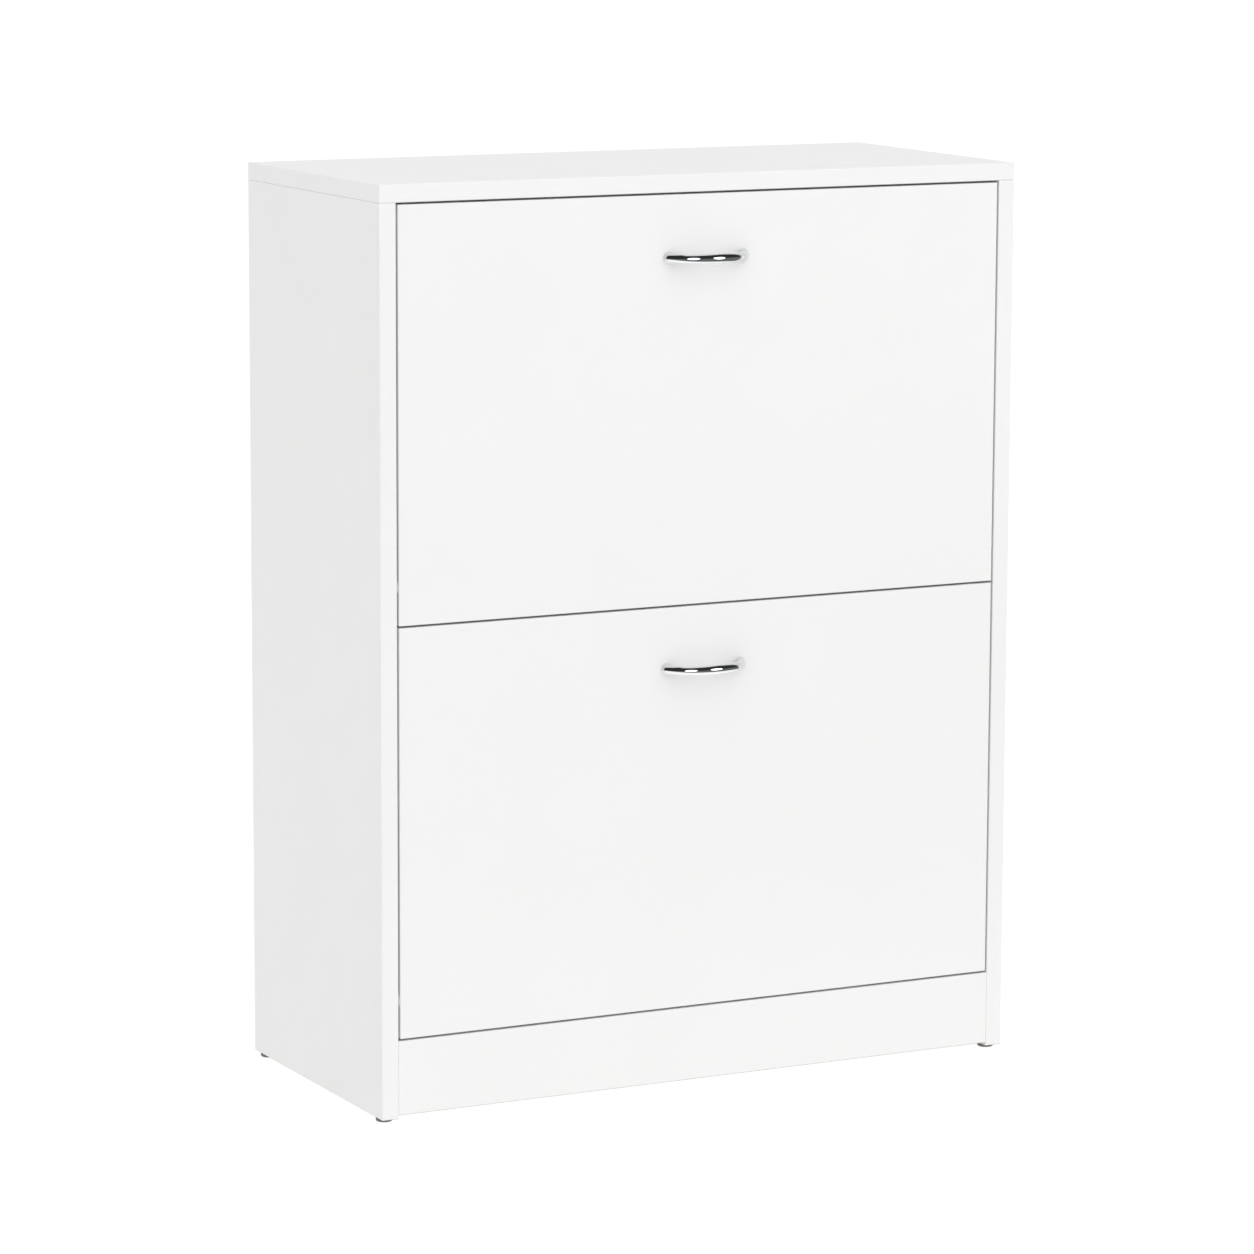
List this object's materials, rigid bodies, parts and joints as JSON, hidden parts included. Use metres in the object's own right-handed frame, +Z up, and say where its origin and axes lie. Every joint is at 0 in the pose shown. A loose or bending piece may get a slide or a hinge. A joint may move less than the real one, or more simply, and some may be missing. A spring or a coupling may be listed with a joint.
{
  "type": "shoe cabinet",
  "caption": "Slim white shoe cabinet whose tip-out flaps turn on pins at their lower edge, each with a two-row shoe rack behind it and a chrome bow handle.",
  "frame": {"origin": "on the floor, under the middle of the box round the cabinet and its handles", "axes": "+X to the right as seen from the front, +Y from the flaps to the back, +Z up"},
  "size_m": [0.6, 0.293, 0.7835],
  "materials": {
    "white_board": "white melamine foil on particle board, satin",
    "white_hardboard": "white printed hardboard",
    "white_plastic": "moulded, fine matt grain",
    "grey_plastic": "moulded",
    "chrome": "polished",
    "zinc_steel": "zinc plated",
    "beech": "plain beech dowel",
    "felt": "pressed felt"
  },
  "bodies": {
    "cabinet": {"top_panel": "white_board", "side_panel_left": "white_board", "side_panel_right": "white_board", "bottom_panel": "white_board", "middle_shelf": "white_board", "plinth": "white_board", "front_top_rail": "white_board", "rear_top_rail": "white_board", "back_panel_upper": "white_hardboard", "back_panel_lower": "white_hardboard", "back_joint_strip": "white_plastic", "back_panel_nails": "zinc_steel", "glide_front_left": "grey_plastic", "glide_front_right": "grey_plastic", "glide_rear_left": "grey_plastic", "glide_rear_right": "grey_plastic", "glide_nails": "zinc_steel", "cam_bolts": "zinc_steel", "cam_locks": "zinc_steel", "dowels": "beech", "pivot_pin_upper_left": "zinc_steel", "pivot_pin_upper_right": "zinc_steel", "pivot_pin_lower_left": "zinc_steel", "pivot_pin_lower_right": "zinc_steel", "stop_stud_upper_left": "grey_plastic", "stop_stud_upper_right": "grey_plastic", "stop_stud_lower_left": "grey_plastic", "stop_stud_lower_right": "grey_plastic", "bumpers_upper": "felt", "bumpers_lower": "felt"},
    "upper_flap": {"flap_front_upper": "white_board", "handle_upper": "chrome", "handle_screws_upper": "zinc_steel", "pivot_bushes_upper": "white_plastic", "rack_side_upper_left": "white_plastic", "rack_side_upper_right": "white_plastic", "rack_floor_upper": "white_board", "rack_divider_upper": "white_board", "rack_rear_floor_upper": "white_board", "rack_rear_board_upper": "white_board", "rack_screws_upper": "zinc_steel"},
    "lower_flap": {"flap_front_lower": "white_board", "handle_lower": "chrome", "handle_screws_lower": "zinc_steel", "pivot_bushes_lower": "white_plastic", "rack_side_lower_left": "white_plastic", "rack_side_lower_right": "white_plastic", "rack_floor_lower": "white_board", "rack_divider_lower": "white_board", "rack_rear_floor_lower": "white_board", "rack_rear_board_lower": "white_board", "rack_screws_lower": "zinc_steel"}
  },
  "joints": [
    {"name": "upper_flap_tilt", "type": "hinge", "parent": "cabinet", "child": "upper_flap", "pos_m": [0, -0.118, 0.45212], "axis": [1, 0, 0], "range_deg": [0, 45]},
    {"name": "lower_flap_tilt", "type": "hinge", "parent": "cabinet", "child": "lower_flap", "pos_m": [0, -0.118, 0.10375], "axis": [1, 0, 0], "range_deg": [0, 45]}
  ]
}
